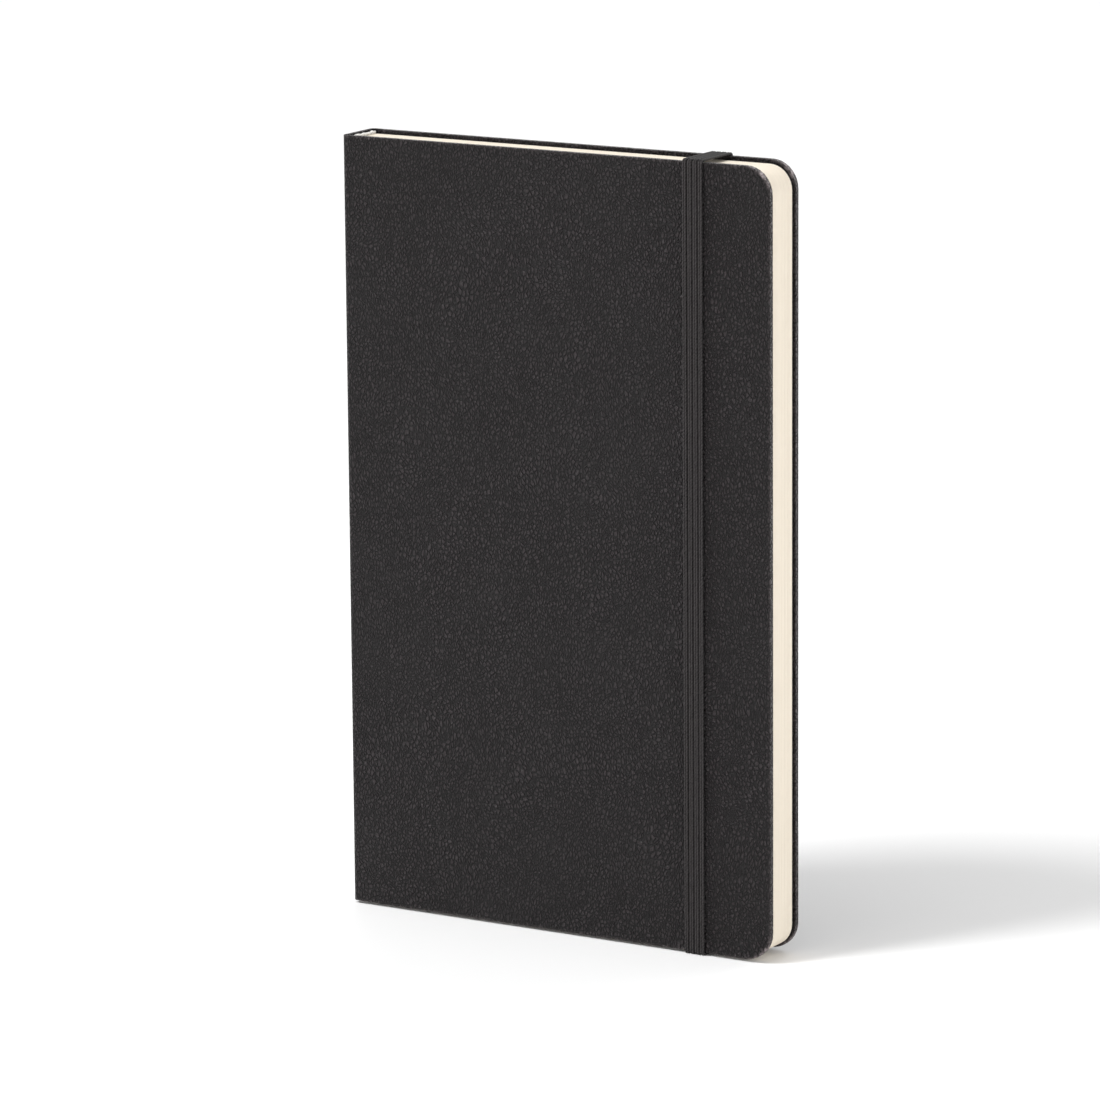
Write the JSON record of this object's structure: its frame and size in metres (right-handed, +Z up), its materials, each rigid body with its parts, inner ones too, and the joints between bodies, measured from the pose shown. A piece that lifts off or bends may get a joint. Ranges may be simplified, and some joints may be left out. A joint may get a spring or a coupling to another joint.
{
  "type": "sketchbook",
  "caption": "Hard-cover sketchbook with rounded fore-edge corners, sewn ivory pages, an inner pocket and an elastic closure band, standing upright.",
  "frame": {"origin": "under the middle of the closed book, on the surface that it stands on (underside of the elastic band)", "axes": "+Z up the book's height, +X from the spine to the fore-edge, +Y from the front cover to the back cover"},
  "size_m": [0.13, 0.0168, 0.2116],
  "materials": {
    "leatherette": "fine pebble grain, low sheen, charcoal",
    "greyboard": "matt pressed board",
    "endpaper": "matt cream paper",
    "pages": "matt ivory drawing paper",
    "card": "matt card",
    "gauze": "open cotton weave, glued",
    "headband_cloth": "white cotton bead",
    "thread": "linen thread",
    "gusset_cloth": "black cloth",
    "elastic": "ribbed knitted elastic, charcoal"
  },
  "bodies": {
    "spine": {"spine_skin": "leatherette", "spine_liner": "card", "spine_gauze": "gauze", "headband": "headband_cloth", "tailband": "headband_cloth", "section_folds": "pages", "section_gutters": "pages", "sewing_thread": "thread", "front_endpaper_fold": "endpaper", "back_endpaper_fold": "endpaper"},
    "front_cover": {"front_cover_skin": "leatherette", "front_board": "greyboard", "front_pastedown": "endpaper"},
    "back_cover": {"back_cover_skin": "leatherette", "back_board": "greyboard", "back_pastedown": "endpaper", "pocket_gussets": "gusset_cloth"},
    "pocket": {"pocket_panel": "endpaper"},
    "elastic": {"elastic_band": "elastic"},
    "front_flyleaf": {"front_flyleaf": "endpaper"},
    "back_flyleaf": {"back_flyleaf": "endpaper"},
    "section_01": {"section_01": "pages"},
    "section_02": {"section_02": "pages"},
    "section_03": {"section_03": "pages"},
    "section_04": {"section_04": "pages"},
    "section_05": {"section_05": "pages"},
    "section_06": {"section_06": "pages"},
    "section_07": {"section_07": "pages"},
    "section_08": {"section_08": "pages"},
    "section_09": {"section_09": "pages"},
    "section_10": {"section_10": "pages"},
    "section_11": {"section_11": "pages"},
    "section_12": {"section_12": "pages"},
    "section_13": {"section_13": "pages"}
  },
  "joints": [
    {"name": "front_cover_turn", "type": "hinge", "parent": "spine", "child": "front_cover", "pos_m": [-0.06415, -0.00675, 0.1058], "axis": [0, 0, -1], "range_deg": [0, 179], "deforming": ["section_gutters", "front_endpaper_fold"]},
    {"name": "back_cover_turn", "type": "hinge", "parent": "spine", "child": "back_cover", "pos_m": [-0.06415, 0.00675, 0.1058], "axis": [0, 0, 1], "range_deg": [0, 179], "deforming": ["back_endpaper_fold"]},
    {"name": "front_flyleaf_turn", "type": "hinge", "parent": "spine", "child": "front_flyleaf", "pos_m": [-0.0605, -0.00585, 0.1058], "axis": [0, 0, -1], "range_deg": [0, 164.69]},
    {"name": "section_01_turn", "type": "hinge", "parent": "spine", "child": "section_01", "pos_m": [-0.0605, -0.00585, 0.1058], "axis": [0, 0, -1], "range_deg": [0, 153.95]},
    {"name": "section_02_turn", "type": "hinge", "parent": "spine", "child": "section_02", "pos_m": [-0.0605, -0.00585, 0.1058], "axis": [0, 0, -1], "range_deg": [0, 142.01]},
    {"name": "section_03_turn", "type": "hinge", "parent": "spine", "child": "section_03", "pos_m": [-0.0605, -0.00585, 0.1058], "axis": [0, 0, -1], "range_deg": [0, 130.09]},
    {"name": "section_04_turn", "type": "hinge", "parent": "spine", "child": "section_04", "pos_m": [-0.0605, -0.00585, 0.1058], "axis": [0, 0, -1], "range_deg": [0, 118.15]},
    {"name": "section_05_turn", "type": "hinge", "parent": "spine", "child": "section_05", "pos_m": [-0.0605, -0.00585, 0.1058], "axis": [0, 0, -1], "range_deg": [0, 106.21]},
    {"name": "section_06_turn", "type": "hinge", "parent": "spine", "child": "section_06", "pos_m": [-0.0605, -0.00585, 0.1058], "axis": [0, 0, -1], "range_deg": [0, 94.29]},
    {"name": "section_07_turn", "type": "hinge", "parent": "spine", "child": "section_07", "pos_m": [-0.0605, -0.00585, 0.1058], "axis": [0, 0, -1], "range_deg": [0, 82.35]},
    {"name": "section_08_turn", "type": "hinge", "parent": "spine", "child": "section_08", "pos_m": [-0.0605, -0.00585, 0.1058], "axis": [0, 0, -1], "range_deg": [0, 70.41]},
    {"name": "section_09_turn", "type": "hinge", "parent": "spine", "child": "section_09", "pos_m": [-0.0605, -0.00585, 0.1058], "axis": [0, 0, -1], "range_deg": [0, 58.49]},
    {"name": "section_10_turn", "type": "hinge", "parent": "spine", "child": "section_10", "pos_m": [-0.0605, -0.00585, 0.1058], "axis": [0, 0, -1], "range_deg": [0, 46.55]},
    {"name": "section_11_turn", "type": "hinge", "parent": "spine", "child": "section_11", "pos_m": [-0.0605, -0.00585, 0.1058], "axis": [0, 0, -1], "range_deg": [0, 34.61]},
    {"name": "section_12_turn", "type": "hinge", "parent": "spine", "child": "section_12", "pos_m": [-0.0605, -0.00585, 0.1058], "axis": [0, 0, -1], "range_deg": [0, 22.69]},
    {"name": "section_13_turn", "type": "hinge", "parent": "spine", "child": "section_13", "pos_m": [-0.0605, -0.00585, 0.1058], "axis": [0, 0, -1], "range_deg": [0, 10.75]},
    {"name": "back_flyleaf_turn", "type": "hinge", "parent": "spine", "child": "back_flyleaf", "pos_m": [-0.0605, 0.00495, 0.1058], "axis": [0, 0, 1], "range_deg": [0, 71.61]},
    {"name": "pocket_open", "type": "hinge", "parent": "back_cover", "child": "pocket", "pos_m": [0.06, 0.0053, 0.1058], "axis": [0, 0, 1], "range_deg": [0, 7.01], "deforming": ["pocket_gussets"]},
    {"name": "elastic_slide", "type": "slide", "parent": "back_cover", "child": "elastic", "axis": [1, 0, 0], "range_m": [0, 0.03001], "deforming": ["elastic_band"]}
  ],
  "couplings": [
    {"joint": "front_flyleaf_turn", "follows": "front_cover_turn", "ratio": 0.92},
    {"joint": "section_01_turn", "follows": "front_cover_turn", "ratio": 0.86},
    {"joint": "section_02_turn", "follows": "front_cover_turn", "ratio": 0.7933},
    {"joint": "section_03_turn", "follows": "front_cover_turn", "ratio": 0.7267},
    {"joint": "section_04_turn", "follows": "front_cover_turn", "ratio": 0.66},
    {"joint": "section_05_turn", "follows": "front_cover_turn", "ratio": 0.5933},
    {"joint": "section_06_turn", "follows": "front_cover_turn", "ratio": 0.5267},
    {"joint": "section_07_turn", "follows": "front_cover_turn", "ratio": 0.46},
    {"joint": "section_08_turn", "follows": "front_cover_turn", "ratio": 0.3933},
    {"joint": "section_09_turn", "follows": "front_cover_turn", "ratio": 0.3267},
    {"joint": "section_10_turn", "follows": "front_cover_turn", "ratio": 0.26},
    {"joint": "section_11_turn", "follows": "front_cover_turn", "ratio": 0.1933},
    {"joint": "section_12_turn", "follows": "front_cover_turn", "ratio": 0.1267},
    {"joint": "section_13_turn", "follows": "front_cover_turn", "ratio": 0.06},
    {"joint": "back_flyleaf_turn", "follows": "back_cover_turn", "ratio": 0.4},
    {"joint": "pocket_open", "follows": "back_cover_turn", "ratio": 0.03911},
    {"joint": "elastic_slide", "follows": "front_cover_turn", "m_per_rad": 0.0096026}
  ]
}
